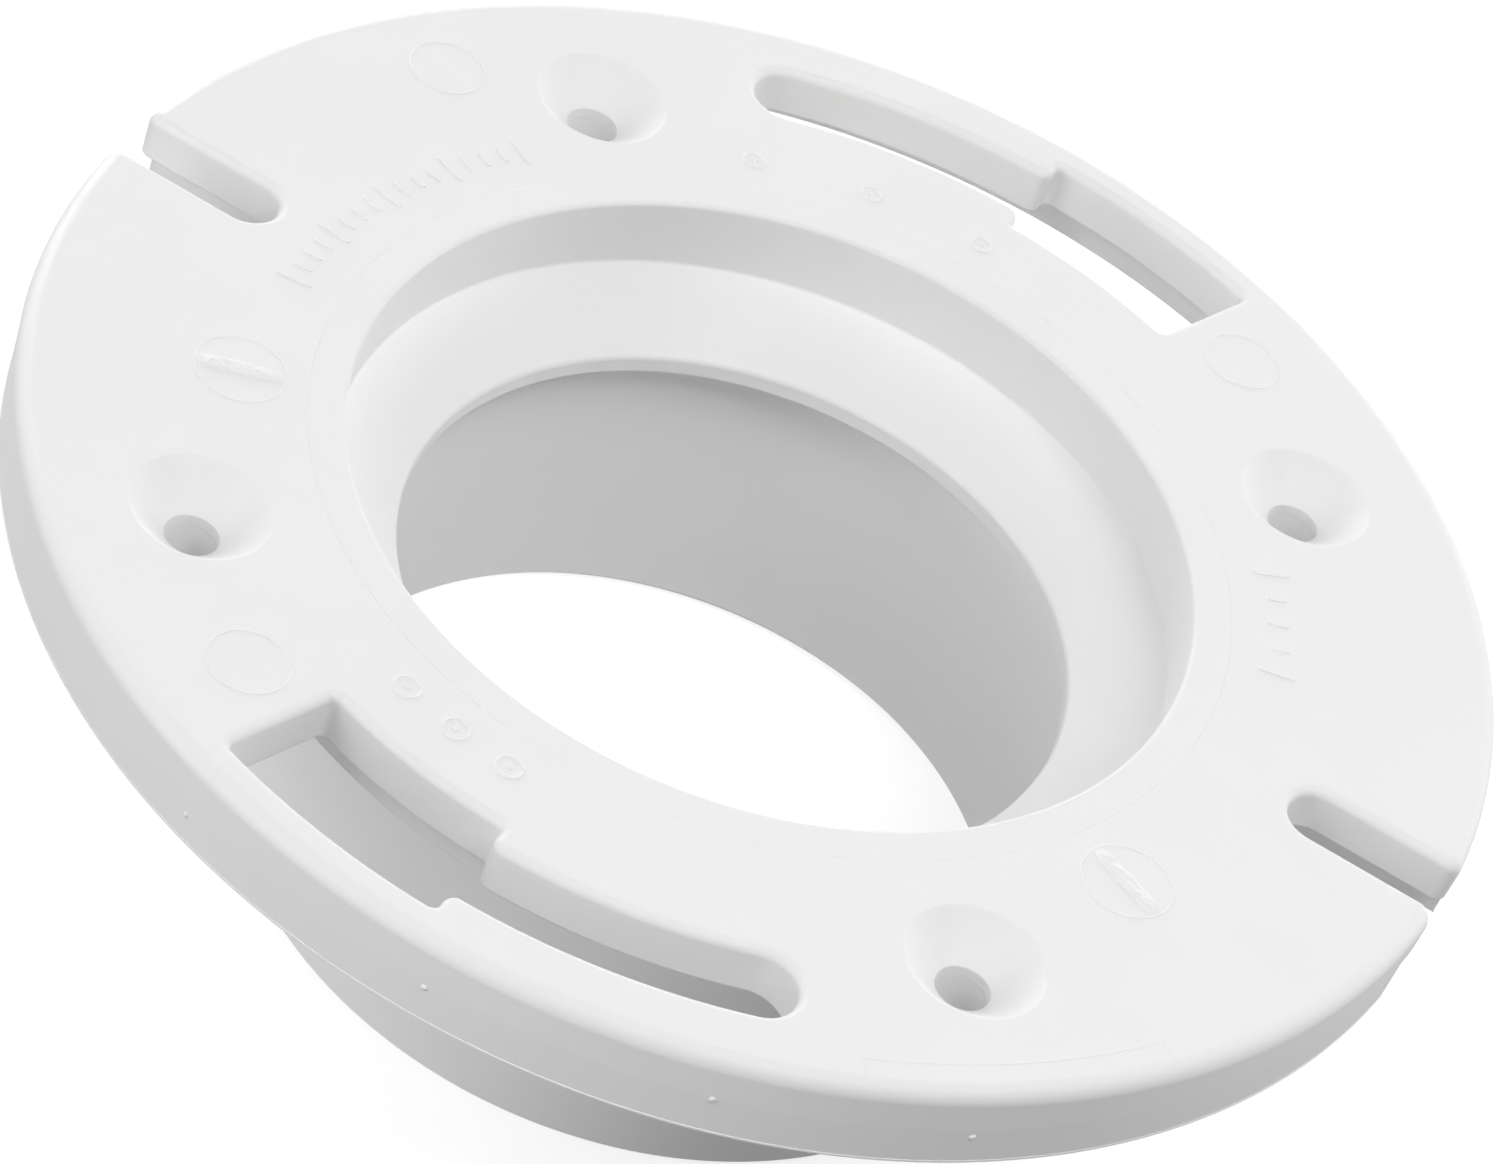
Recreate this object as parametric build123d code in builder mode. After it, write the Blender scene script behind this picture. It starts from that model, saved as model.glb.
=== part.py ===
from build123d import *
from math import atan, cos, degrees, hypot, radians, sin
import os

# A closet flange, the fitting that ties a toilet bowl to its drain pipe and to the floor.
# The real object is one rigid moulding in white PVC. It is made here as the regions that
# a drawing of it would name, which meet face to face and don't overlap.
#
# Frame: Z is the drain's axis and points up to the bowl. Z = 0 is the finished floor, which
# the flange's underside rests on. The two open bolt slots lie on +X and -X.
# In the sketches of upright sections, X is the distance from the drain's axis and Y the height.

# ---- Driving dimensions, in millimetres and degrees ----

FLANGE_RADIUS = 88.9  # 7 in across
FLANGE_DEPTH = 11.5  # from the floor to the top face
PLATE_THICKNESS = 6.0

RIM_WALL = 2.1  # the skirt that hangs from the plate's edge
RIM_DRAFT = 0.4  # how much the skirt draws in on its way down to the floor
RIM_TOP_EDGE = 1.6
RIM_FLOOR_EDGE = 0.4

THROAT_RADIUS = 51.0  # the entry from the bowl, as wide as 4 in pipe
THROAT_DEPTH = 9.4
THROAT_EDGE = 1.0
SLEEVE_RADIUS = 55.6  # the insert line scribed round the throat

COLLAR_RADIUS = 65.5  # the solid ring under the plate that carries the load to the floor
COLLAR_EDGE = 0.5

DRAIN_RADIUS = 40.9  # the narrowest place, flush with the inside of the 3 in pipe
CONE_DEPTH = 6.7  # height over which the throat narrows to the drain
STOP_HEIGHT = 2.4  # the land that the 3 in pipe butts against

SOCKET_RADIUS = 44.6  # takes 3 in pipe, 88.9 across
SOCKET_CHAMFER = 1.0
HUB_RADIUS = 50.9  # goes into 4 in pipe, 102.3 inside
HUB_CHAMFER = 0.7
HUB_SHOULDER = 3.0  # fillet between the hub and the flange's underside
OVERALL_HEIGHT = 58.0

SCREW_CIRCLE_RADIUS = 70.1
SCREW_FIRST_ANGLE = 45.0
SCREW_COUNT = 4
SCREW_HOLE_RADIUS = 3.2
COUNTERSINK_RADIUS = 8.2
COUNTERSINK_DEPTH = 4.5
COUNTERSINK_EDGE = 0.4
BOSS_RADIUS = 7.0

SLOT_EDGE = 1.1  # rounding where a slot's wall meets the top face
OPEN_SLOT_WIDTH = 7.8
OPEN_SLOT_CENTRE = 72.2  # where the rounded end of an open slot has its centre
SLOT_CHANNEL_WIDTH = 17.0  # the way that is left free under each slot, out through the skirt
SLOT_RIB_THICKNESS = 2.0  # the ribs beside that channel, from the collar to the skirt

BOLT_CIRCLE_RADIUS = 76.2  # closet bolts stand 6 in apart
KEY_SLOT_WIDTH = 9.0
KEY_SLOT_SPAN = 25.0  # from the step to the centre of the round end
KEY_HEAD_INNER_RADIUS = 68.3
KEY_HEAD_OUTER_RADIUS = 84.0
KEY_HEAD_SPAN = 20.2
KEY_CORNER = 1.0
KEY_STEP_CORNER = 1.5  # where the head steps down to the tail
KEY_LIP_WIDTH = 1.4  # the low lip that stiffens the plate's underside round each key slot
KEY_LIP_HEIGHT = 0.8

GATE_CENTRES = ((63.6, -155.2), (63.8, -24.3))  # radius and angle of the injection points
GATE_DISC_RADIUS = 5.4
GATE_DISC_HEIGHT = 0.12
GATE_BAR_LENGTH = 10.5
GATE_BAR_WIDTH = 1.5
GATE_BAR_HEIGHT = 0.5
GATE_BAR_EDGE = 0.15

EJECTOR_CENTRES = ((77.4, 149.2), (74.8, 63.4), (74.7, -116.5))
EJECTOR_RADIUS = 4.9
EJECTOR_LINE_WIDTH = 0.3
EJECTOR_LINE_HEIGHT = 0.1

# ---- Dimensions that follow from them ----

RIM_INNER_RADIUS = FLANGE_RADIUS - RIM_WALL
PLATE_UNDERSIDE = FLANGE_DEPTH - PLATE_THICKNESS
CONE_TOP = FLANGE_DEPTH - THROAT_DEPTH
CONE_BOTTOM = CONE_TOP - CONE_DEPTH
STOP_BOTTOM = CONE_BOTTOM - STOP_HEIGHT
HUB_BOTTOM = FLANGE_DEPTH - OVERALL_HEIGHT
COUNTERSINK_ANGLE = 2 * degrees(atan((COUNTERSINK_RADIUS - SCREW_HOLE_RADIUS) / COUNTERSINK_DEPTH))
KEY_STEP_ANGLE = 90.0
TOUCH = 0.01  # two lengths closer than this are the same


def polar_plane(radius, angle, height):
    """A plane at a height over the floor, with its X pointing away from the drain's axis."""
    turn = radians(angle)
    outward = (cos(turn), sin(turn), 0)
    return Plane(origin=(radius * cos(turn), radius * sin(turn), height), x_dir=outward, z_dir=(0, 0, 1))


def open_slot_outlines():
    """The two slots that run out through the rim, on +X and -X."""
    with BuildSketch() as outlines:
        with PolarLocations(OPEN_SLOT_CENTRE, 2):
            Circle(OPEN_SLOT_WIDTH / 2)
            Rectangle(FLANGE_RADIUS, OPEN_SLOT_WIDTH, align=(Align.MIN, Align.CENTER))
    return outlines.sketch


def is_step_corner(corner):
    """True for the two corners where the key slot's head steps down to its tail."""
    radius = hypot(corner.X, corner.Y)
    return abs(corner.X) < TOUCH and KEY_HEAD_INNER_RADIUS + TOUCH < radius < KEY_HEAD_OUTER_RADIUS - TOUCH


def is_head_corner(corner):
    """True for the four corners of the key slot's head."""
    radius = hypot(corner.X, corner.Y)
    return min(abs(radius - KEY_HEAD_INNER_RADIUS), abs(radius - KEY_HEAD_OUTER_RADIUS)) < TOUCH


def key_slot_outline():
    """A curved keyhole: a wide head that lets the bolt's head in, and a tail on the bolt circle."""
    with BuildLine() as tail_path:
        CenterArc((0, 0), BOLT_CIRCLE_RADIUS, KEY_STEP_ANGLE - KEY_HEAD_SPAN / 2, KEY_HEAD_SPAN / 2 + KEY_SLOT_SPAN)
    with BuildSketch() as outline:
        with BuildLine():
            inner = CenterArc((0, 0), KEY_HEAD_INNER_RADIUS, KEY_STEP_ANGLE - KEY_HEAD_SPAN, KEY_HEAD_SPAN)
            outer = CenterArc((0, 0), KEY_HEAD_OUTER_RADIUS, KEY_STEP_ANGLE - KEY_HEAD_SPAN, KEY_HEAD_SPAN)
            Line(inner @ 0, outer @ 0)
            Line(inner @ 1, outer @ 1)
        make_face()
        SlotArc(tail_path.edge(), KEY_SLOT_WIDTH)
        fillet(outline.vertices().filter_by(is_step_corner), KEY_STEP_CORNER)
        fillet(outline.vertices().filter_by(is_head_corner), KEY_CORNER)
    return outline.sketch


def key_lip_outline(slot):
    """The narrow band round a key slot."""
    with BuildSketch() as band:
        add(slot)
        offset(amount=KEY_LIP_WIDTH)
        add(slot, mode=Mode.SUBTRACT)
    return band.sketch


def is_slot_edge(edge):
    """True unless the edge lies on one of the two circles that bound the plate."""
    if edge.geom_type != GeomType.CIRCLE:
        return True
    return min(abs(edge.radius - RIM_INNER_RADIUS), abs(edge.radius - SLEEVE_RADIUS)) > TOUCH


# ---- Flange plate: the flat disc with the slots and the countersunk screw holes ----

open_slots = open_slot_outlines()
key_slot = key_slot_outline()
key_lip = key_lip_outline(key_slot)

with BuildPart() as flange_plate:
    with BuildSketch(Plane.XY.offset(PLATE_UNDERSIDE)):
        Circle(RIM_INNER_RADIUS)
        Circle(SLEEVE_RADIUS, mode=Mode.SUBTRACT)
        add(open_slots, mode=Mode.SUBTRACT)
        with PolarLocations(0, 2):
            add(key_slot, mode=Mode.SUBTRACT)
    extrude(amount=PLATE_THICKNESS)
    top_face = flange_plate.faces().sort_by(Axis.Z)[-1]
    fillet(top_face.edges().filter_by(is_slot_edge), SLOT_EDGE)
    with Locations((0, 0, FLANGE_DEPTH)):
        with PolarLocations(SCREW_CIRCLE_RADIUS, SCREW_COUNT, start_angle=SCREW_FIRST_ANGLE):
            CounterSinkHole(SCREW_HOLE_RADIUS, COUNTERSINK_RADIUS, counter_sink_angle=COUNTERSINK_ANGLE)
    sinks = flange_plate.edges().filter_by(GeomType.CIRCLE)
    fillet(sinks.filter_by(lambda edge: abs(edge.radius - COUNTERSINK_RADIUS) < TOUCH), COUNTERSINK_EDGE)
    with BuildSketch(Plane.XY.offset(PLATE_UNDERSIDE - KEY_LIP_HEIGHT)):
        with PolarLocations(0, 2):
            add(key_lip)
    extrude(amount=KEY_LIP_HEIGHT)
flange_plate.part.label = "flange_plate"

# ---- Rim: the skirt round the plate's edge, in two halves that the open slots part ----

rims = []
for rim_name, outward in (("rim_back", 1), ("rim_front", -1)):
    with BuildPart() as rim:
        with BuildSketch(Plane(origin=(0, 0, 0), x_dir=(outward, 0, 0), z_dir=(0, -outward, 0))) as section:
            with BuildLine():
                Polyline(
                    (RIM_INNER_RADIUS, 0),
                    (FLANGE_RADIUS - RIM_DRAFT, 0),
                    (FLANGE_RADIUS, FLANGE_DEPTH),
                    (RIM_INNER_RADIUS, FLANGE_DEPTH),
                    close=True,
                )
            make_face()
            top_outer = section.vertices().group_by(Axis.Y)[-1].sort_by(Axis.X)[-1]
            fillet(top_outer, RIM_TOP_EDGE)
            floor_outer = section.vertices().group_by(Axis.Y)[0].sort_by(Axis.X)[-1]
            fillet(floor_outer, RIM_FLOOR_EDGE)
        revolve(axis=Axis.Z, revolution_arc=180)
        with BuildSketch():
            add(open_slots)
        extrude(amount=FLANGE_DEPTH, mode=Mode.SUBTRACT)
        with BuildSketch():
            Rectangle(3 * FLANGE_RADIUS, SLOT_CHANNEL_WIDTH)
        extrude(amount=PLATE_UNDERSIDE, mode=Mode.SUBTRACT)
        slot_walls = rim.faces().filter_by(lambda face: abs(abs(face.center().Y) - OPEN_SLOT_WIDTH / 2) < TOUCH)
        mouth_edges = slot_walls.edges().filter_by(
            lambda edge: abs(edge.center().X) > RIM_INNER_RADIUS and edge.center().Z > PLATE_UNDERSIDE + TOUCH
        )
        fillet(mouth_edges, SLOT_EDGE)
    rim.part.label = rim_name
    rims.append(rim.part)

# ---- Throat sleeve: the ring of plastic round the entry, inside the scribed line ----

with BuildPart() as throat_sleeve:
    with BuildSketch(Plane.XZ) as sleeve_section:
        with Locations((THROAT_RADIUS, CONE_TOP)):
            Rectangle(SLEEVE_RADIUS - THROAT_RADIUS, THROAT_DEPTH, align=(Align.MIN, Align.MIN))
        inner_top = sleeve_section.vertices().group_by(Axis.Y)[-1].sort_by(Axis.X)[0]
        fillet(inner_top, THROAT_EDGE)
    revolve(axis=Axis.Z)
throat_sleeve.part.label = "throat_sleeve"

# ---- Support collar: the solid ring under the plate ----

with BuildPart() as support_collar:
    with BuildSketch(Plane.XZ) as collar_section:
        with Locations((SLEEVE_RADIUS, 0)):
            Rectangle(COLLAR_RADIUS - SLEEVE_RADIUS, PLATE_UNDERSIDE, align=(Align.MIN, Align.MIN))
        outer_bottom = collar_section.vertices().group_by(Axis.Y)[0].sort_by(Axis.X)[-1]
        fillet(outer_bottom, COLLAR_EDGE)
    revolve(axis=Axis.Z)
support_collar.part.label = "support_collar"

# ---- Slot ribs: two beside the channel under each open slot, from the collar to the skirt ----

ribs = []
for rib_name, rib_turn, rib_side in (
    ("slot_rib_1", 0, 1),
    ("slot_rib_2", 180, -1),
    ("slot_rib_3", 180, 1),
    ("slot_rib_4", 0, -1),
):
    with BuildPart() as rib:
        with BuildSketch(Plane.XY.rotated((0, 0, rib_turn))):
            with Locations((0, rib_side * (SLOT_CHANNEL_WIDTH + SLOT_RIB_THICKNESS) / 2)):
                Rectangle(RIM_INNER_RADIUS, SLOT_RIB_THICKNESS, align=(Align.MIN, Align.CENTER))
            Circle(RIM_INNER_RADIUS, mode=Mode.INTERSECT)
            Circle(COLLAR_RADIUS, mode=Mode.SUBTRACT)
        extrude(amount=PLATE_UNDERSIDE)
    rib.part.label = rib_name
    ribs.append(rib.part)

# ---- Screw bosses: one under each countersunk hole, leaning on the collar ----

bosses = []
for number in range(SCREW_COUNT):
    boss_angle = SCREW_FIRST_ANGLE + number * 360 / SCREW_COUNT
    with BuildPart() as boss:
        with BuildSketch(polar_plane(SCREW_CIRCLE_RADIUS, boss_angle, 0)):
            Circle(BOSS_RADIUS)
            Circle(SCREW_HOLE_RADIUS, mode=Mode.SUBTRACT)
        extrude(amount=PLATE_UNDERSIDE)
        Cylinder(
            COLLAR_RADIUS,
            PLATE_UNDERSIDE,
            align=(Align.CENTER, Align.CENTER, Align.MIN),
            mode=Mode.SUBTRACT,
        )
    boss.part.label = f"screw_boss_{number + 1}"
    bosses.append(boss.part)

# ---- Reducer cone: narrows the throat to the drain, and fillets the hub to the flange ----

with BuildPart() as reducer_cone:
    with BuildSketch(Plane.XZ):
        with BuildLine():
            shoulder_arc = CenterArc((HUB_RADIUS + HUB_SHOULDER, -HUB_SHOULDER), HUB_SHOULDER, 90, 90)
            Polyline(
                shoulder_arc @ 0,
                (SLEEVE_RADIUS, 0),
                (SLEEVE_RADIUS, CONE_TOP),
                (THROAT_RADIUS, CONE_TOP),
                (DRAIN_RADIUS, CONE_BOTTOM),
                (HUB_RADIUS, CONE_BOTTOM),
                shoulder_arc @ 1,
            )
        make_face()
    revolve(axis=Axis.Z)
reducer_cone.part.label = "reducer_cone"

# ---- Pipe stop: the land at the drain's narrowest place ----

with BuildPart() as pipe_stop:
    with BuildSketch(Plane.XZ):
        with Locations((DRAIN_RADIUS, STOP_BOTTOM)):
            Rectangle(HUB_RADIUS - DRAIN_RADIUS, STOP_HEIGHT, align=(Align.MIN, Align.MIN))
    revolve(axis=Axis.Z)
pipe_stop.part.label = "pipe_stop"

# ---- Pipe hub: 3 in pipe goes inside it, 4 in pipe goes over it ----

with BuildPart() as pipe_hub:
    with BuildSketch(Plane.XZ) as hub_section:
        with Locations((SOCKET_RADIUS, HUB_BOTTOM)):
            Rectangle(HUB_RADIUS - SOCKET_RADIUS, STOP_BOTTOM - HUB_BOTTOM, align=(Align.MIN, Align.MIN))
        mouth = hub_section.vertices().group_by(Axis.Y)[0].sort_by(Axis.X)
        chamfer(mouth[0], SOCKET_CHAMFER)
        chamfer(mouth[1], HUB_CHAMFER)
    revolve(axis=Axis.Z)
pipe_hub.part.label = "pipe_hub"

# ---- Gate marks: what is left of the two injection points, a low disc under a broken-off bar ----

gates = []
for number, (gate_radius, gate_angle) in enumerate(GATE_CENTRES, start=1):
    with BuildPart() as gate:
        with BuildSketch(polar_plane(gate_radius, gate_angle, FLANGE_DEPTH)):
            Circle(GATE_DISC_RADIUS)
        extrude(amount=GATE_DISC_HEIGHT)
        with BuildSketch(polar_plane(gate_radius, gate_angle, FLANGE_DEPTH)):
            RectangleRounded(GATE_BAR_LENGTH, GATE_BAR_WIDTH, GATE_BAR_WIDTH / 3)
        extrude(amount=GATE_BAR_HEIGHT)
        fillet(gate.faces().sort_by(Axis.Z)[-1].edges(), GATE_BAR_EDGE)
    gate.part.label = f"gate_mark_{number}"
    gates.append(gate.part)

# ---- Ejector marks: the raised circles that the three pins leave on the top face ----

with BuildPart() as ejector_marks:
    for mark_radius, mark_angle in EJECTOR_CENTRES:
        with BuildSketch(polar_plane(mark_radius, mark_angle, FLANGE_DEPTH)):
            Circle(EJECTOR_RADIUS)
            Circle(EJECTOR_RADIUS - EJECTOR_LINE_WIDTH, mode=Mode.SUBTRACT)
        extrude(amount=EJECTOR_LINE_HEIGHT)
ejector_marks.part.label = "ejector_marks"

# ---- One STEP file for each piece ----

pieces = [
    flange_plate.part,
    *rims,
    throat_sleeve.part,
    support_collar.part,
    *ribs,
    *bosses,
    reducer_cone.part,
    pipe_stop.part,
    pipe_hub.part,
    *gates,
    ejector_marks.part,
]

os.makedirs("parts", exist_ok=True)
for piece in pieces:
    export_step(piece, f"parts/{piece.label}.step")
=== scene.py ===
import bmesh
import bpy
import math
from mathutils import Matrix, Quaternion, Vector, noise


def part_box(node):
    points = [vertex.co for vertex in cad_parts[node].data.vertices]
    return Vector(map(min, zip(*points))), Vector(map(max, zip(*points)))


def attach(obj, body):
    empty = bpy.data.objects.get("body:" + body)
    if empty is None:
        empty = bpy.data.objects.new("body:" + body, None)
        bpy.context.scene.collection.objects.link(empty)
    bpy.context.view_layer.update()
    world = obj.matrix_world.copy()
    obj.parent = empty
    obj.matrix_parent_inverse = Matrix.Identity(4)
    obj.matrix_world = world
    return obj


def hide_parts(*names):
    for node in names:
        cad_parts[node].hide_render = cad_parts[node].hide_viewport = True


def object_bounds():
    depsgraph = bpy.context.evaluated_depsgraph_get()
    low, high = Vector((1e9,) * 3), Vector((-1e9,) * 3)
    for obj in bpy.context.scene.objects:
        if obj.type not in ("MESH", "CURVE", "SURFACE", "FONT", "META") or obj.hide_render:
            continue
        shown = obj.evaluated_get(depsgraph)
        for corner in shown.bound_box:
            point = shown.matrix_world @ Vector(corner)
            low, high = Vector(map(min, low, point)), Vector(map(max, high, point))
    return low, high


# A closet flange moulded in white PVC, on a near-white table under soft studio light.
# Lengths are in metres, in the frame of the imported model: Z is the drain's axis, z = 0 the finished
# floor, and the two open bolt slots lie on +X and -X. Angles in names that end in _ANGLE are degrees.
#
# The moulding is drawn as one skin of a few large meshes, so that light runs over it unbroken: the
# slotted plate, the two skirts and the throat with the hub. Each is built from outlines and sections
# whose surface directions are known, and those directions are kept as the mesh's normals.

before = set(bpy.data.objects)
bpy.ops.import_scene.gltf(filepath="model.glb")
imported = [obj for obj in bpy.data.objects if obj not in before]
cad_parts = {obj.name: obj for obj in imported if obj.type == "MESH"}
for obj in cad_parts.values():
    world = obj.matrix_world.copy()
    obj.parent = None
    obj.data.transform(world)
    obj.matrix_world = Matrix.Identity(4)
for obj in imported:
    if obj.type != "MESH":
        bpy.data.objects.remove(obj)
cad_low, cad_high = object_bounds()

MM = 0.001

# ---- Heights, from the frame ----

plate_low, plate_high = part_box("flange_plate")
collar_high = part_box("support_collar")[1]
sleeve_low, sleeve_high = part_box("throat_sleeve")
stop_low, stop_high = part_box("pipe_stop")
hub_low, hub_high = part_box("pipe_hub")
rim_low, rim_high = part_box("rim_back")

FLOOR = rim_low.z
TOP = plate_high.z
UNDERSIDE = collar_high.z
LIP_BOTTOM = plate_low.z  # the lips round the key slots hang below the plate
CONE_TOP = sleeve_low.z
CONE_BOTTOM = stop_high.z
STOP_BOTTOM = stop_low.z
HUB_BOTTOM = hub_low.z

# ---- Radii, from the frame and from the flange's own dimensions ----

RIM_RADIUS = rim_high.y
COLLAR_RADIUS = collar_high.x
SLEEVE_RADIUS = sleeve_high.x
HUB_RADIUS = hub_high.x
THROAT_RADIUS = 51.0 * MM
DRAIN_RADIUS = 40.9 * MM
SOCKET_RADIUS = 44.6 * MM
SKIRT_INNER_RADIUS = 86.8 * MM
RIM_DRAFT = 0.4 * MM
RIM_TOP_EDGE = 2.0 * MM
HUB_SHOULDER = 3.0 * MM
HUB_CHAMFER = 0.7 * MM
SOCKET_CHAMFER = 1.0 * MM
THROAT_EDGE = 0.6 * MM
DRAIN_EDGE = 0.9 * MM
FLASH_LIP = 0.06 * MM  # stands out along the skirt's lower edge, where the mould parts
FLASH_HEIGHT = 0.3 * MM

# ---- Slots and screw holes ----

OPEN_SLOT_HALF = 3.9 * MM
OPEN_SLOT_CENTRE = 72.2 * MM
MOUTH_CORNER = 1.8 * MM
CHANNEL_HALF = 8.5 * MM

BOLT_CIRCLE = 76.2 * MM
KEY_TAIL_HALF = 4.5 * MM
KEY_HEAD_INNER = 68.3 * MM
KEY_HEAD_OUTER = 84.0 * MM
KEY_CORNER = 1.0 * MM
KEY_STEP_CORNER = 1.5 * MM
KEY_STEP_ANGLE = 90.0
KEY_HEAD_SPAN = 20.2
KEY_TAIL_SPAN = 25.0

SCREW_CIRCLE = 70.1 * MM
SCREW_HOLE = 3.2 * MM
COUNTERSINK_RADIUS = 8.2 * MM
COUNTERSINK_DEPTH = 4.5 * MM
COUNTERSINK_EDGE = 0.45 * MM
SCREW_EDGE = 0.25 * MM

SLOT_EDGE = 1.1 * MM  # rounding between the top face and a slot's wall
LIP_WIDTH = 1.4 * MM
LIP_FOOT = 0.7 * MM  # rounding at a key slot wall's lower edge
LIP_OUTER_EDGE = 0.2 * MM
OPEN_SLOT_FOOT = 0.35 * MM
SEAM_EDGE = 0.07 * MM  # each side of the fine line that the throat's insert leaves
FINE_EDGE = 0.3 * MM

EDGE_STEPS = 8
ARC_STEP = math.radians(0.6)
SMALL_ARC = 10 * MM  # arcs below this radius take wider steps
SMALL_ARC_STEP = math.radians(4.0)
CORNER_STEPS = 12
RING_STEPS = 480
HOLE_STEPS = 96


# ---- Meshes with known surface directions ----


class Skin:
    """Collects vertices, each with the direction its surface faces, and makes them a mesh object."""

    def __init__(self):
        self.mesh = bmesh.new()
        self.facing = self.mesh.verts.layers.float_vector.new("facing")

    def point(self, place, facing):
        vertex = self.mesh.verts.new(place)
        vertex[self.facing] = facing
        return vertex

    def face(self, corners):
        return self.mesh.faces.new(corners)

    def bands(self, rows, closed=True):
        """Joins each row of vertices to the next one with four-sided faces."""
        for upper, lower in zip(rows, rows[1:]):
            count = len(upper)
            for here in range(count if closed else count - 1):
                there = (here + 1) % count
                self.face((upper[here], lower[here], lower[there], upper[there]))

    def flat_fill(self, loops):
        """Fills the flat region between closed loops of vertices, all at one height."""
        edges = []
        for loop in loops:
            for here, there in zip(loop, loop[1:] + loop[:1]):
                edges.append(self.mesh.edges.get((here, there)) or self.mesh.edges.new((here, there)))
        bmesh.ops.triangle_fill(self.mesh, edges=edges, use_beauty=True, normal=(0, 0, 1))

    def finish(self, name):
        """Closes the skin, turns every face outward and keeps the known directions as normals."""
        bmesh.ops.remove_doubles(self.mesh, verts=self.mesh.verts, dist=0.0005 * MM)
        bmesh.ops.recalc_face_normals(self.mesh, faces=self.mesh.faces)
        for face in self.mesh.faces:
            face.smooth = True
        facings = [vertex[self.facing].copy() for vertex in self.mesh.verts]
        data = bpy.data.meshes.new(name)
        self.mesh.to_mesh(data)
        self.mesh.free()
        data.attributes.remove(data.attributes["facing"])
        normals = []
        for polygon in data.polygons:
            for corner in polygon.vertices:
                facing = facings[corner]
                strays = facing.length < 0.5 or facing.dot(polygon.normal) < 0.55
                normals.append(polygon.normal if strays or abs(polygon.normal.z) > 0.99999 else facing)
        data.normals_split_custom_set(normals)
        piece = bpy.data.objects.new(name, data)
        bpy.context.scene.collection.objects.link(piece)
        return piece


# ---- Outlines seen from above, made of arcs that run into each other or into straight lines ----


def polar(radius, angle):
    return Vector((radius * math.cos(angle), radius * math.sin(angle)))


def arc(centre, radius, start, sweep, side, rim_share=(0.0, 0.0)):
    """Points of a wall seen from above, as (place, direction the wall faces, share of the rim's shape).

    A side of 1 faces away from the arc's centre, and -1 faces towards it.
    """
    widest_step = SMALL_ARC_STEP if radius < SMALL_ARC else ARC_STEP
    steps = max(CORNER_STEPS, math.ceil(abs(sweep) / widest_step))
    points = []
    for step in range(steps + 1):
        part = step / steps
        spoke = polar(1.0, start + sweep * part)
        share = rim_share[0] + (rim_share[1] - rim_share[0]) * part
        points.append((centre + radius * spoke, side * spoke, share))
    return points


def ring_arc(radius, start, end, side, share=0.0):
    """An arc round the drain's axis."""
    return arc(Vector((0, 0)), radius, start, end - start, side, (share, share))


def joined(arcs):
    """One closed outline from arcs in order, with points that repeat left out."""
    outline = []
    for points in arcs:
        for point in points:
            if not outline or (point[0] - outline[-1][0]).length > 0.001 * MM:
                outline.append(point)
    if (outline[0][0] - outline[-1][0]).length <= 0.001 * MM:
        outline.pop()
    return outline


QUARTER = math.pi / 2


def rim_outline():
    """The plate's outside: the round rim, broken by the two open slots."""
    corner_ring = RIM_RADIUS - MOUTH_CORNER
    swing = math.asin((OPEN_SLOT_HALF + MOUTH_CORNER) / corner_ring)
    arcs = []
    for turn in (0.0, math.pi):
        near = turn + swing
        far = turn + math.pi - swing
        near_corner = polar(corner_ring, near)
        arcs.append(arc(near_corner, MOUTH_CORNER, turn - QUARTER, QUARTER + swing, 1, (0.0, 1.0)))
        arcs.append(ring_arc(RIM_RADIUS, near, far, 1, 1.0))
        arcs.append(arc(polar(corner_ring, far), MOUTH_CORNER, far, QUARTER + swing, 1, (1.0, 0.0)))
        slot_end = polar(OPEN_SLOT_CENTRE, turn + math.pi)
        arcs.append(arc(slot_end, OPEN_SLOT_HALF, turn + QUARTER, -math.pi, -1))
    return joined(arcs)


def key_slot_outline(turn):
    """A curved keyhole: a wide head, then a step down to a tail on the closet bolts' circle."""
    step = math.radians(KEY_STEP_ANGLE) + turn
    head = step - math.radians(KEY_HEAD_SPAN)
    tail = step + math.radians(KEY_TAIL_SPAN)
    outer_ring = KEY_HEAD_OUTER - KEY_CORNER
    inner_ring = KEY_HEAD_INNER + KEY_CORNER
    outer = math.asin(KEY_CORNER / outer_ring)
    inner = math.asin(KEY_CORNER / inner_ring)
    tail_outer = BOLT_CIRCLE + KEY_TAIL_HALF
    tail_inner = BOLT_CIRCLE - KEY_TAIL_HALF
    step_outer = math.asin(KEY_STEP_CORNER / (tail_outer + KEY_STEP_CORNER))
    step_inner = math.asin(KEY_STEP_CORNER / (tail_inner - KEY_STEP_CORNER))
    outer_step_centre = polar(tail_outer + KEY_STEP_CORNER, step + step_outer)
    inner_step_centre = polar(tail_inner - KEY_STEP_CORNER, step + step_inner)
    return joined(
        (
            ring_arc(KEY_HEAD_OUTER, head + outer, step - outer, -1),
            arc(polar(outer_ring, step - outer), KEY_CORNER, step - outer, QUARTER + outer, -1),
            arc(outer_step_centre, KEY_STEP_CORNER, step - QUARTER, step_outer - QUARTER, 1),
            ring_arc(tail_outer, step + step_outer, tail, -1),
            arc(polar(BOLT_CIRCLE, tail), KEY_TAIL_HALF, tail, math.pi, -1),
            ring_arc(tail_inner, tail, step + step_inner, 1),
            arc(inner_step_centre, KEY_STEP_CORNER, step + step_inner, -QUARTER - step_inner, 1),
            arc(polar(inner_ring, step - inner), KEY_CORNER, step + QUARTER, QUARTER - inner, -1),
            ring_arc(KEY_HEAD_INNER, step - inner, head + inner, 1),
            arc(polar(inner_ring, head + inner), KEY_CORNER, head + inner + math.pi, QUARTER - inner, -1),
            arc(polar(outer_ring, head + outer), KEY_CORNER, head - QUARTER, QUARTER + outer, -1),
        )
    )


# ---- Upright sections, with every corner rounded ----


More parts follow.
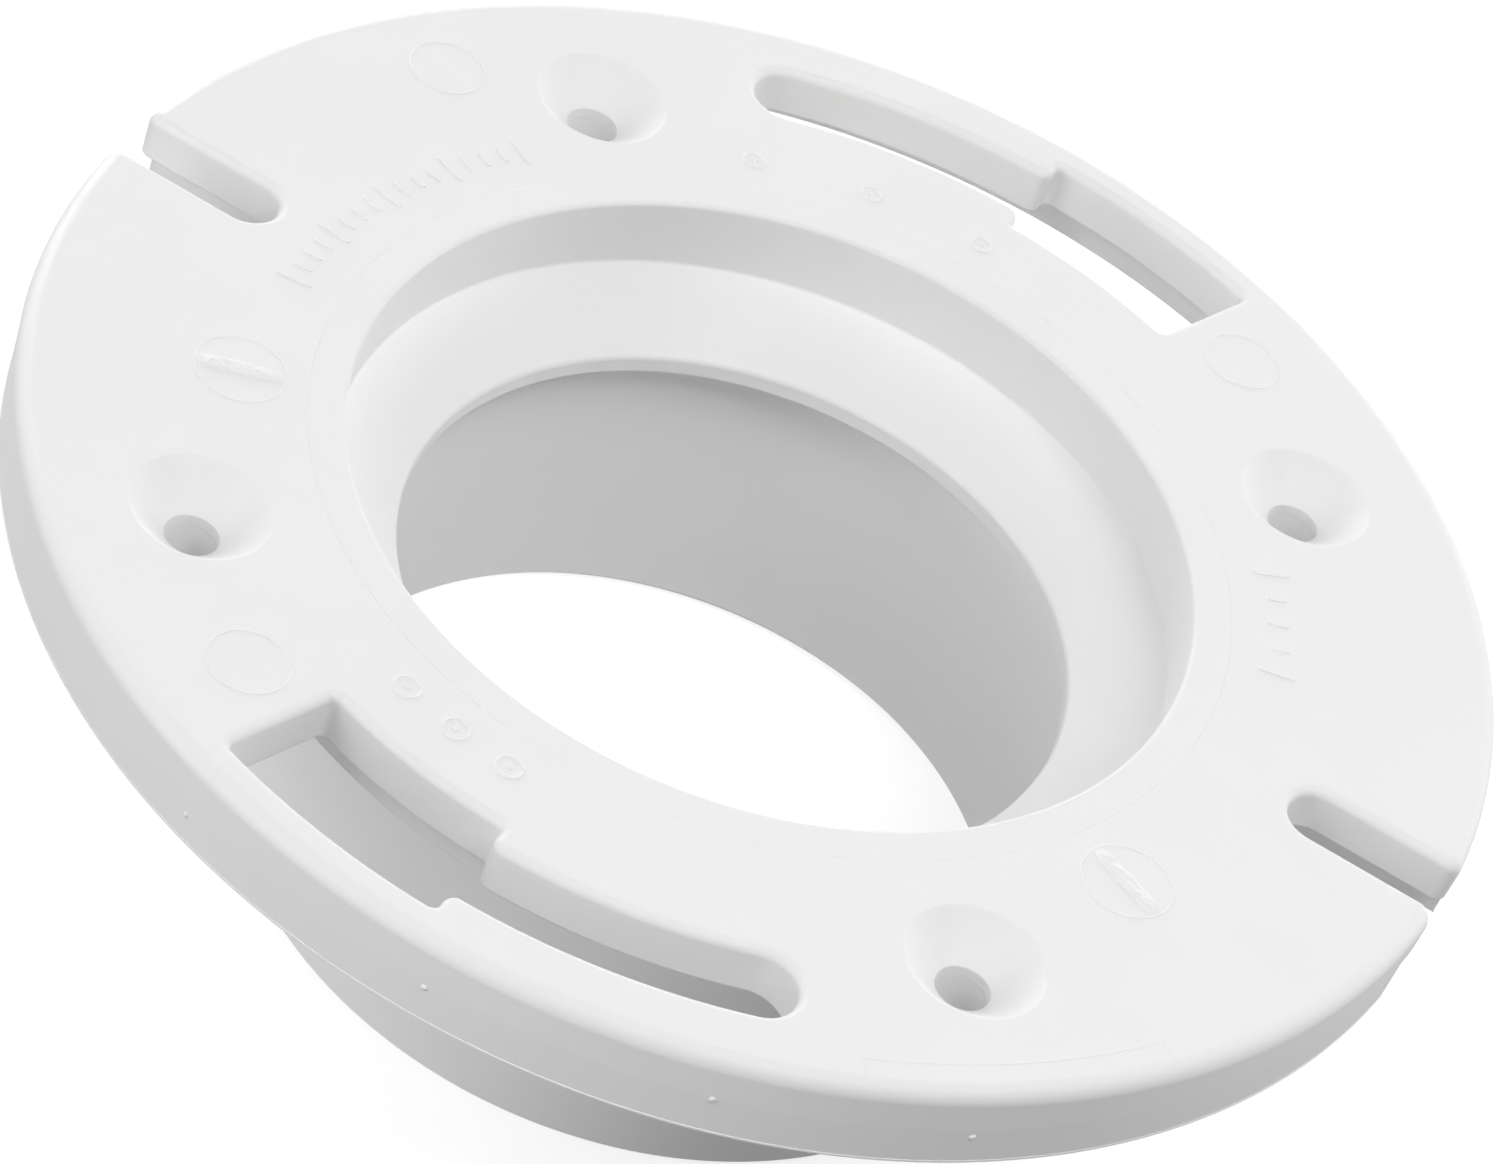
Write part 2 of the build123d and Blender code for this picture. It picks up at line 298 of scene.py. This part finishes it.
def rounded_section(corners, closed):
    """Points of a section as ((radius, height), direction faced), from corners of (radius, height, rounding).

    The material lies on the left of the path. An open section's first and last corners only guide it.
    """
    count = len(corners)
    points = []
    for number in range(count) if closed else range(1, count - 1):
        corner = Vector(corners[number][:2])
        arriving = (corner - Vector(corners[number - 1][:2])).normalized()
        leaving = (Vector(corners[(number + 1) % count][:2]) - corner).normalized()
        rounding = corners[number][2]
        facing = Vector((arriving.y, -arriving.x))
        if rounding == 0.0:
            facings = (facing, Vector((leaving.y, -leaving.x)))
            points.append((corner, min(facings, key=lambda direction: abs(direction.y))))
            continue
        bend = math.atan2(arriving.x * leaving.y - arriving.y * leaving.x, arriving.dot(leaving))
        outside = math.copysign(1.0, bend)
        start = corner - arriving * rounding * math.tan(abs(bend) / 2)
        centre = start - outside * rounding * facing
        for step in range(EDGE_STEPS + 1):
            angle = bend * step / EDGE_STEPS
            turned = Vector(
                (
                    facing.x * math.cos(angle) - facing.y * math.sin(angle),
                    facing.x * math.sin(angle) + facing.y * math.cos(angle),
                )
            )
            points.append((centre + outside * rounding * turned, turned))
    return points


def turned_rows(skin, section, centre, steps):
    """One row of vertices round an upright axis for each point of a section."""
    rows = []
    for (radius, height), facing in section:
        row = []
        for step in range(steps):
            spoke = polar(1.0, 2 * math.pi * step / steps)
            place = centre + radius * spoke
            out = (facing.x * spoke.x, facing.x * spoke.y, facing.y)
            row.append(skin.point((place.x, place.y, height), out))
        rows.append(row)
    return rows


# ---- The slotted plate ----


def mixed(slot_value, rim_value, share):
    return slot_value + (rim_value - slot_value) * share


def wall_rows(skin, outline, top, bottom, top_edge, foot_edge, bottom_draft):
    """Rows of vertices down a wall: over its top edge, straight down, and round its foot.

    Each of the last three is a pair, for a slot's wall and for the rim.
    """
    rows = []
    for step in range(2 * EDGE_STEPS + 2):
        over = step <= EDGE_STEPS
        angle = QUARTER * (step if over else step - 1) / EDGE_STEPS
        row = []
        for place, facing, share in outline:
            rounding = mixed(*(top_edge if over else foot_edge), share)
            draft = 0.0 if over else mixed(*bottom_draft, share)
            inset = rounding * (1 - math.sin(angle)) + draft
            level = bottom + rounding * (1 + math.cos(angle))
            if over:
                level = top - rounding * (1 - math.cos(angle))
            spot = place - inset * facing
            lean = QUARTER if rounding < 0.01 * MM else angle
            out = facing * math.sin(lean)
            row.append(skin.point((spot.x, spot.y, level), (out.x, out.y, math.cos(lean))))
        rows.append(row)
    return rows


def lip_rows(skin, outline):
    """The lip under a key slot: flat below, then up its outer side to the plate's underside."""
    rows = []
    for inset, level, lean in (
        (LIP_WIDTH - LIP_OUTER_EDGE, LIP_BOTTOM, 2 * QUARTER),
        (LIP_WIDTH - LIP_OUTER_EDGE * 0.3, LIP_BOTTOM + LIP_OUTER_EDGE * 0.3, 1.5 * QUARTER),
        (LIP_WIDTH, LIP_BOTTOM + LIP_OUTER_EDGE, QUARTER),
        (LIP_WIDTH, UNDERSIDE, QUARTER),
    ):
        row = []
        for place, facing, _ in outline:
            spot = place - inset * facing
            out = -facing * math.sin(lean)
            row.append(skin.point((spot.x, spot.y, level), (out.x, out.y, math.cos(lean))))
        rows.append(row)
    return rows


def make_plate():
    skin = Skin()
    draft = RIM_DRAFT * (TOP - UNDERSIDE) / (TOP - FLOOR)
    edges = (SLOT_EDGE, RIM_TOP_EDGE)
    walls = [wall_rows(skin, rim_outline(), TOP, UNDERSIDE, edges, (OPEN_SLOT_FOOT, 0.0), (0.0, draft))]
    for turn in (0.0, math.pi):
        outline = key_slot_outline(turn)
        wall = wall_rows(skin, outline, TOP, LIP_BOTTOM, edges, (LIP_FOOT, 0.0), (0.0, draft))
        walls.append(wall + lip_rows(skin, outline))
    sink = (
        (SCREW_CIRCLE, TOP, 0.0),
        (COUNTERSINK_RADIUS, TOP, COUNTERSINK_EDGE),
        (SCREW_HOLE, TOP - COUNTERSINK_DEPTH, SCREW_EDGE),
        (SCREW_HOLE, UNDERSIDE, 0.1 * MM),
        (SCREW_CIRCLE, UNDERSIDE, 0.0),
    )
    for quarter in range(4):
        centre = polar(SCREW_CIRCLE, QUARTER / 2 + quarter * QUARTER)
        walls.append(turned_rows(skin, rounded_section(sink, False), centre, HOLE_STEPS))
    seam = (
        (RIM_RADIUS, TOP, 0.0),
        (SLEEVE_RADIUS, TOP, SEAM_EDGE),
        (SLEEVE_RADIUS, UNDERSIDE, SEAM_EDGE),
        (RIM_RADIUS, UNDERSIDE, 0.0),
    )
    walls.append(turned_rows(skin, rounded_section(seam, False), Vector((0, 0)), RING_STEPS))
    for rows in walls:
        skin.bands(rows)
    skin.flat_fill([rows[0] for rows in walls])
    skin.flat_fill([rows[-1] for rows in walls])
    return skin.finish("slotted_plate")


# ---- The skirt under the rim, in two halves ----

SKIRT_STEPS = 360


def make_skirt(name, turn):
    """Half of the skirt. Its ends are flat, and flush with the channel that runs out under each open slot."""
    foot_radius = RIM_RADIUS - RIM_DRAFT
    joint_radius = RIM_RADIUS - RIM_DRAFT * (TOP - UNDERSIDE) / (TOP - FLOOR)
    section = rounded_section(
        (
            (SKIRT_INNER_RADIUS, FLOOR, FINE_EDGE),
            (foot_radius + FLASH_LIP, FLOOR, FLASH_LIP),
            (foot_radius + FLASH_LIP, FLOOR + FLASH_HEIGHT, FLASH_LIP / 3),
            (foot_radius, FLOOR + FLASH_HEIGHT + FLASH_LIP / 2, FLASH_LIP / 3),
            (joint_radius, UNDERSIDE, 0.0),
            (SKIRT_INNER_RADIUS, UNDERSIDE, 0.0),
        ),
        True,
    )
    skin = Skin()
    rows = []
    for step in range(SKIRT_STEPS + 1):
        row = []
        for (radius, height), facing in section:
            end = math.asin(CHANNEL_HALF / radius)
            spoke = polar(1.0, turn + end + (math.pi - 2 * end) * step / SKIRT_STEPS)
            place = radius * spoke
            out = (facing.x * spoke.x, facing.x * spoke.y, facing.y)
            row.append(skin.point((place.x, place.y, height), out))
        rows.append(row)
    skin.bands(rows)
    skin.face(rows[0])
    skin.face(rows[-1])
    return skin.finish(name)


# ---- The throat, the cone, the pipe stop, the hub and the collar, turned in one piece ----


def make_throat_and_hub():
    section = rounded_section(
        (
            (SOCKET_RADIUS + SOCKET_CHAMFER, HUB_BOTTOM, 0.15 * MM),
            (HUB_RADIUS - HUB_CHAMFER, HUB_BOTTOM, 0.15 * MM),
            (HUB_RADIUS, HUB_BOTTOM + HUB_CHAMFER, FINE_EDGE),
            (HUB_RADIUS, FLOOR, HUB_SHOULDER),
            (COLLAR_RADIUS, FLOOR, 0.5 * MM),
            (COLLAR_RADIUS, UNDERSIDE, 0.0),
            (SLEEVE_RADIUS, UNDERSIDE, 0.0),
            (SLEEVE_RADIUS, TOP, SEAM_EDGE),
            (THROAT_RADIUS, TOP, THROAT_EDGE),
            (THROAT_RADIUS, CONE_TOP, 0.5 * MM),
            (DRAIN_RADIUS, CONE_BOTTOM, DRAIN_EDGE),
            (DRAIN_RADIUS, STOP_BOTTOM, FINE_EDGE),
            (SOCKET_RADIUS, STOP_BOTTOM, FINE_EDGE),
            (SOCKET_RADIUS, HUB_BOTTOM + SOCKET_CHAMFER, FINE_EDGE),
        ),
        True,
    )
    skin = Skin()
    rows = turned_rows(skin, section, Vector((0, 0)), RING_STEPS)
    skin.bands(rows + rows[:1])
    return skin.finish("throat_and_hub")


# ---- Marks that moulding leaves on the top face ----

SUNK = 0.05 * MM  # how far a raised mark reaches into the surface it stands on
EJECTOR_PINS = ((77.4 * MM, 149.2), (74.8 * MM, 63.4), (74.7 * MM, -116.5))
EJECTOR_RADIUS = 4.75 * MM
GATES = ((63.6 * MM, -155.2), (63.8 * MM, -24.3))
GATE_RADIUS = 5.4 * MM


def ring_mark(skin, centre, radius, width, height):
    """A low raised ring, round in section."""
    section = rounded_section(
        (
            (radius - width / 2, TOP - SUNK, 0.0),
            (radius + width / 2, TOP - SUNK, 0.0),
            (radius + width / 2 - 0.3 * width, TOP + height, 0.3 * width),
            (radius - width / 2 + 0.3 * width, TOP + height, 0.3 * width),
        ),
        True,
    )
    rows = turned_rows(skin, section, centre, HOLE_STEPS)
    skin.bands(rows + rows[:1])


def make_ejector_rings():
    skin = Skin()
    for radius, angle in EJECTOR_PINS:
        ring_mark(skin, polar(radius, math.radians(angle)), EJECTOR_RADIUS, 0.34 * MM, 0.1 * MM)
    return skin.finish("ejector_rings")


BAR_LENGTH = 10.4 * MM
BAR_WIDTH = 2.2 * MM
BAR_HEIGHT = 0.44 * MM
BAR_LONG_STEPS = 90
BAR_CROSS_STEPS = 14
DISC_LINE = 0.4 * MM
DISC_HEIGHT = 0.09 * MM


def make_gate(name, radius, angle):
    """A faint disc under the ragged strip where the sprue was broken off."""
    centre = polar(radius, math.radians(angle))
    along = polar(1.0, math.radians(angle))
    across = Vector((-along.y, along.x))
    skin = Skin()
    ring_mark(skin, centre, GATE_RADIUS, DISC_LINE, DISC_HEIGHT)
    rows = []
    for step in range(BAR_LONG_STEPS + 1):
        part = 2 * step / BAR_LONG_STEPS - 1
        ragged = noise.fractal(Vector((part * 3.0, angle, 0.0)), 1.0, 2.0, 2)
        half_width = BAR_WIDTH / 2 * math.sqrt(max(1 - part**10, 0.0)) * (0.95 + 0.12 * ragged) + 0.02 * MM
        row = []
        for cross_step in range(BAR_CROSS_STEPS + 1):
            side = 2 * cross_step / BAR_CROSS_STEPS - 1
            spot = centre + along * (part * BAR_LENGTH / 2) + across * (side * half_width)
            rough = noise.fractal(Vector((spot.x, spot.y, 0.0)) / (0.9 * MM), 1.0, 2.1, 3)
            dome = (1 - side**6) * (1 - part**8)
            lift = BAR_HEIGHT * dome * min(max(0.78 + 0.3 * rough, 0.3), 1.1)
            border = cross_step in (0, BAR_CROSS_STEPS) or step in (0, BAR_LONG_STEPS)
            level = TOP - SUNK if border else TOP + lift
            row.append(skin.point((spot.x, spot.y, level), (0.0, 0.0, 0.0)))
        rows.append(row)
    skin.bands(rows, closed=False)
    first_side = [row[0] for row in rows]
    last_side = [row[-1] for row in rows]
    border_loop = rows[0] + last_side[1:-1] + rows[-1][::-1] + first_side[-2:0:-1]
    skin.flat_fill([border_loop])
    return skin.finish(name)


# ---- Raised marks. They are plain graduations and rings, and spell nothing ----

MARK_HEIGHT = 0.16 * MM
MARK_EDGE = 0.1 * MM
MARK_WIDTH = 0.7 * MM
MARK_RING = 61.5 * MM
LONG_TICK = 4.6 * MM
SHORT_TICK = 2.6 * MM
DOT_RING_LINE = 0.5 * MM
FRONT_MARK_RING = 60.5 * MM
INSERT_FIRST_ANGLE = -57.4
INSERT_LAST_ANGLE = -32.5
INSERT_INNER_RADIUS = 84.5 * MM
INSERT_LINE = 0.2 * MM
INSERT_HEIGHT = 0.04 * MM
INSERT_EDGE = 0.03 * MM
INSERT_END = 0.2  # degrees from the curved line's end to the straight one's middle


def raised_pad(skin, outline, height=MARK_HEIGHT, edge=MARK_EDGE):
    """A low flat pad on the top face, with a rounded upper edge."""
    rows = wall_rows(skin, outline, TOP + height, TOP - SUNK, (edge, edge), (0.0, 0.0), (0.0, 0.0))
    skin.bands(rows)
    skin.flat_fill([rows[0]])
    skin.flat_fill([rows[-1]])


def bar_outline(radius, angle, length, width):
    """A round-ended bar that points away from the drain's axis."""
    turn = math.radians(angle)
    outer = polar(radius + length / 2 - width / 2, turn)
    inner = polar(radius - length / 2 + width / 2, turn)
    return joined(
        (
            arc(outer, width / 2, turn - QUARTER, math.pi, 1),
            arc(inner, width / 2, turn + QUARTER, math.pi, 1),
        )
    )


def curved_outline(radius, first_angle, last_angle, width):
    """A round-ended line that runs round the drain's axis."""
    start = math.radians(first_angle)
    end = math.radians(last_angle)
    return joined(
        (
            ring_arc(radius + width / 2, start, end, 1),
            arc(polar(radius, end), width / 2, end, math.pi, 1),
            ring_arc(radius - width / 2, end, start, -1),
            arc(polar(radius, start), width / 2, start + math.pi, math.pi, 1),
        )
    )


def make_graduation(name, first_angle, last_angle, ticks, long_every):
    """Ticks at even angles. Every so many, one is long."""
    skin = Skin()
    for tick in range(ticks):
        angle = first_angle + (last_angle - first_angle) * tick / (ticks - 1)
        length = SHORT_TICK if tick % long_every else LONG_TICK
        raised_pad(skin, bar_outline(MARK_RING, angle, length, MARK_WIDTH))
    return skin.finish(name)


def make_ring_row(name, radius, angles, ring_radius):
    """Small raised rings, each round a dot."""
    skin = Skin()
    for angle in angles:
        centre = polar(radius, math.radians(angle))
        ring_mark(skin, centre, ring_radius, DOT_RING_LINE, MARK_HEIGHT)
        dot = joined((arc(centre, MARK_WIDTH / 2, 0.0, 2 * math.pi, 1),))
        raised_pad(skin, dot)
    return skin.finish(name)


def make_insert_outline():
    """The fine line round the mould's replaceable panel, at the plate's edge."""
    skin = Skin()
    reach = RIM_RADIUS - RIM_TOP_EDGE - INSERT_INNER_RADIUS
    curve = curved_outline(INSERT_INNER_RADIUS, INSERT_FIRST_ANGLE, INSERT_LAST_ANGLE, INSERT_LINE)
    raised_pad(skin, curve, INSERT_HEIGHT, INSERT_EDGE)
    middle = INSERT_INNER_RADIUS + INSERT_LINE + reach / 2
    for angle in (INSERT_FIRST_ANGLE + INSERT_END, INSERT_LAST_ANGLE - INSERT_END):
        raised_pad(skin, bar_outline(middle, angle, reach, INSERT_LINE), INSERT_HEIGHT, INSERT_EDGE)
    return skin.finish("insert_outline")


# ---- Pimples that small pits in the mould leave on the rim's outside ----

PIMPLES = ((-88.05, 4.8 * MM), (-67.0, 5.3 * MM), (-109.3, 3.6 * MM), (-48.0, 4.4 * MM))
PIMPLE_RADIUS = 0.42 * MM
PIMPLE_HEIGHT = 0.2 * MM
PIMPLE_RINGS = 6
PIMPLE_SIDES = 24


def make_pimples():
    skin = Skin()
    for angle, height in PIMPLES:
        outward = polar(1.0, math.radians(angle)).to_3d()
        across = Vector((-outward.y, outward.x, 0.0))
        wall_radius = RIM_RADIUS - RIM_DRAFT * (TOP - height) / (TOP - FLOOR)
        centre = outward * (wall_radius - SUNK) + Vector((0, 0, height))
        rows = []
        for ring in range(PIMPLE_RINGS):
            rise = QUARTER * ring / PIMPLE_RINGS
            row = []
            for side in range(PIMPLE_SIDES):
                around = 2 * math.pi * side / PIMPLE_SIDES
                spread = across * math.cos(around) + Vector((0, 0, math.sin(around)))
                out = (PIMPLE_HEIGHT + SUNK) * math.sin(rise)
                spot = centre + spread * PIMPLE_RADIUS * math.cos(rise) + outward * out
                row.append(skin.point(spot, spread * math.cos(rise) + outward * math.sin(rise)))
            rows.append(row)
        skin.bands(rows)
        skin.face(rows[0])
        tip = skin.point(centre + outward * (PIMPLE_HEIGHT + SUNK), outward)
        for here, there in zip(rows[-1], rows[-1][1:] + rows[-1][:1]):
            skin.face((here, there, tip))
    return skin.finish("rim_pimples")


# ---- Material: satin white PVC ----


def noise_node(tree, place, scale, detail, roughness=0.5):
    texture = tree.nodes.new("ShaderNodeTexNoise")
    texture.inputs["Scale"].default_value = scale
    texture.inputs["Detail"].default_value = detail
    texture.inputs["Roughness"].default_value = roughness
    tree.links.new(place.outputs["Object"], texture.inputs["Vector"])
    return texture


def ranged(tree, source, low, high):
    """A noise's middle range stretched between two values."""
    span = tree.nodes.new("ShaderNodeMapRange")
    span.inputs["From Min"].default_value = 0.3
    span.inputs["From Max"].default_value = 0.7
    span.inputs["To Min"].default_value = low
    span.inputs["To Max"].default_value = high
    tree.links.new(source.outputs["Fac"], span.inputs["Value"])
    return span


def make_pvc():
    """Nearly even white, with faint cloudiness, uneven gloss, flow ripples and the mould's fine texture."""
    material = bpy.data.materials.new("white_pvc")
    material.use_nodes = True
    tree = material.node_tree
    shader = tree.nodes["Principled BSDF"]
    place = tree.nodes.new("ShaderNodeTexCoord")

    clouds = ranged(tree, noise_node(tree, place, 38.0, 3.0), 0.0, 1.0)
    tint = tree.nodes.new("ShaderNodeMix")
    tint.data_type = "RGBA"
    tint.inputs["A"].default_value = (0.884, 0.885, 0.881, 1.0)
    tint.inputs["B"].default_value = (0.902, 0.902, 0.897, 1.0)
    tree.links.new(clouds.outputs["Result"], tint.inputs["Factor"])
    tree.links.new(tint.outputs["Result"], shader.inputs["Base Color"])

    gloss = ranged(tree, noise_node(tree, place, 160.0, 4.0), 0.5, 0.62)
    tree.links.new(gloss.outputs["Result"], shader.inputs["Roughness"])

    ripples = tree.nodes.new("ShaderNodeBump")
    ripples.inputs["Strength"].default_value = 0.25
    ripples.inputs["Distance"].default_value = 0.12 * MM
    tree.links.new(noise_node(tree, place, 95.0, 2.0).outputs["Fac"], ripples.inputs["Height"])
    texture = tree.nodes.new("ShaderNodeBump")
    texture.inputs["Strength"].default_value = 0.3
    texture.inputs["Distance"].default_value = 0.02 * MM
    tree.links.new(noise_node(tree, place, 1400.0, 3.0, 0.6).outputs["Fac"], texture.inputs["Height"])
    tree.links.new(ripples.outputs["Normal"], texture.inputs["Normal"])
    tree.links.new(texture.outputs["Normal"], shader.inputs["Normal"])
    return material


# ---- Camera: the viewing angle of a long lens, tipped so that the flange leans to the right ----

CAMERA_PLACE = Vector((0.1039, -0.51565, 0.45107))
CAMERA_AIM = Vector((0.00362, -0.0145, 0.0115))
CAMERA_ROLL = math.radians(22.652)
CAMERA_LENS = 142.86


def make_camera():
    data = bpy.data.cameras.new("camera")
    data.lens = CAMERA_LENS
    data.sensor_width = 36.0
    data.sensor_fit = "HORIZONTAL"
    data.clip_start = 0.01
    data.clip_end = 20.0
    camera = bpy.data.objects.new("camera", data)
    bpy.context.scene.collection.objects.link(camera)
    camera.location = CAMERA_PLACE
    camera.rotation_mode = "QUATERNION"
    level = (CAMERA_AIM - CAMERA_PLACE).to_track_quat("-Z", "Y")
    camera.rotation_quaternion = level @ Quaternion((0, 0, 1), CAMERA_ROLL)
    bpy.context.scene.camera = camera


# ---- Light: soft round lamps on a dome round the flange, and a dim glow from below the table ----

LAMP_DISTANCE = 1.6
LAMP_SIZE = 0.9
GLOW_FROM_BELOW = 0.39
BACKDROP_BRIGHTNESS = 0.96


def make_lamp(name, azimuth, elevation, power):
    """A lamp that points at the flange. Azimuth 0 is in front, on -Y, and 90 on the right, on +X."""
    data = bpy.data.lights.new(name, "AREA")
    data.shape = "DISK"
    data.size = LAMP_SIZE
    data.energy = power
    lamp = bpy.data.objects.new(name, data)
    bpy.context.scene.collection.objects.link(lamp)
    turn = math.radians(azimuth)
    rise = math.radians(elevation)
    outward = Vector((math.sin(turn) * math.cos(rise), -math.cos(turn) * math.cos(rise), math.sin(rise)))
    lamp.location = LAMP_DISTANCE * outward
    lamp.rotation_mode = "QUATERNION"
    lamp.rotation_quaternion = (-outward).to_track_quat("-Z", "Y")
    lamp.visible_camera = False


def make_lamps():
    make_lamp("key_lamp", 60, 62, 14.2)
    make_lamp("left_lamp", 315, 35, 7.2)
    make_lamp("left_low_lamp", 315, 8, 6.6)
    make_lamp("front_low_lamp", 0, 8, 1.2)
    make_lamp("back_lamp", 135, 35, 5.2)
    make_lamp("back_low_lamp", 135, 8, 6.8)
    make_lamp("rear_lamp", 225, 35, 3.2)
    make_lamp("rear_low_lamp", 225, 8, 11.8)
    make_lamp("far_low_lamp", 180, 8, 5.6)


def make_surroundings():
    """Pale to look at; as a light, dark above the table's level and dim below it."""
    world = bpy.data.worlds.new("studio")
    world.use_nodes = True
    tree = world.node_tree
    background = tree.nodes["Background"]
    background.inputs["Color"].default_value = (1.0, 1.0, 1.0, 1.0)
    direction = tree.nodes.new("ShaderNodeTexCoord")
    split = tree.nodes.new("ShaderNodeSeparateXYZ")
    below = tree.nodes.new("ShaderNodeMath")
    below.operation = "LESS_THAN"
    below.inputs[1].default_value = 0.0
    glow = tree.nodes.new("ShaderNodeMath")
    glow.operation = "MULTIPLY"
    glow.inputs[1].default_value = GLOW_FROM_BELOW
    ray = tree.nodes.new("ShaderNodeLightPath")
    choice = tree.nodes.new("ShaderNodeMix")
    choice.data_type = "FLOAT"
    choice.inputs["B"].default_value = BACKDROP_BRIGHTNESS
    tree.links.new(direction.outputs["Generated"], split.inputs["Vector"])
    tree.links.new(split.outputs["Z"], below.inputs[0])
    tree.links.new(below.outputs["Value"], glow.inputs[0])
    tree.links.new(glow.outputs["Value"], choice.inputs["A"])
    tree.links.new(ray.outputs["Is Camera Ray"], choice.inputs["Factor"])
    tree.links.new(choice.outputs["Result"], background.inputs["Strength"])
    bpy.context.scene.world = world


# ---- Table: near white, and takes only a faint shadow ----


TABLE_GAP = 0.05 * MM  # keeps the table out of the hub's lower face


def see_through_from_below(tree, shader):
    """Leaves only the table's upper side visible, so that a view from below shows the flange."""
    side = tree.nodes.new("ShaderNodeNewGeometry")
    clear = tree.nodes.new("ShaderNodeBsdfTransparent")
    choice = tree.nodes.new("ShaderNodeMixShader")
    tree.links.new(side.outputs["Backfacing"], choice.inputs[0])
    tree.links.new(shader.outputs["BSDF"], choice.inputs[1])
    tree.links.new(clear.outputs["BSDF"], choice.inputs[2])
    tree.links.new(choice.outputs["Shader"], tree.nodes["Material Output"].inputs["Surface"])


def make_table():
    bpy.ops.mesh.primitive_plane_add(size=8.0, location=(0, 0, cad_low.z - TABLE_GAP))
    table = bpy.context.active_object
    table.name = "table_top"
    material = bpy.data.materials.new("white_table")
    material.use_nodes = True
    shader = material.node_tree.nodes["Principled BSDF"]
    shader.inputs["Base Color"].default_value = (0.5, 0.5, 0.5, 1.0)
    shader.inputs["Roughness"].default_value = 1.0
    shader.inputs["Specular IOR Level"].default_value = 0.0
    shader.inputs["Emission Color"].default_value = (1.0, 1.0, 1.0, 1.0)
    shader.inputs["Emission Strength"].default_value = 0.7
    see_through_from_below(material.node_tree, shader)
    table.data.materials.append(material)
    table.visible_diffuse = False
    table.visible_glossy = False
    table.visible_shadow = False


# ---- The scene ----


def show(piece, pvc, *nodes):
    """Gives a piece its material and its place in the frame. It stands for the CAD nodes that are named."""
    piece.data.materials.append(pvc)
    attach(piece, "root")
    if nodes:
        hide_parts(*nodes)


def finish_cad_nodes(pvc):
    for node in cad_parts.values():
        node.data.materials.clear()
        node.data.materials.append(pvc)


def make_flange():
    pvc = make_pvc()
    finish_cad_nodes(pvc)
    show(make_plate(), pvc, "flange_plate")
    show(make_skirt("skirt_back", 0.0), pvc, "rim_back")
    show(make_skirt("skirt_front", math.pi), pvc, "rim_front")
    show(
        make_throat_and_hub(),
        pvc,
        "throat_sleeve",
        "support_collar",
        "reducer_cone",
        "pipe_stop",
        "pipe_hub",
    )
    show(make_ejector_rings(), pvc, "ejector_marks")
    for number, (radius, angle) in enumerate(GATES, start=1):
        show(make_gate(f"torn_gate_{number}", radius, angle), pvc, f"gate_mark_{number}")
    show(make_graduation("long_graduation", 188.0, 148.0, 17, 4), pvc)
    show(make_graduation("short_graduation", 33.0, 17.0, 5, 4), pvc)
    show(make_ring_row("back_rings", MARK_RING, (119.0, 105.0, 91.0), 1.3 * MM), pvc)
    show(make_ring_row("front_rings", FRONT_MARK_RING, (-93.5, -100.5, -107.5), 1.6 * MM), pvc)
    show(make_insert_outline(), pvc)
    show(make_pimples(), pvc)


make_camera()
make_lamps()
make_surroundings()
make_table()
make_flange()
bpy.context.scene.view_settings.view_transform = "Standard"
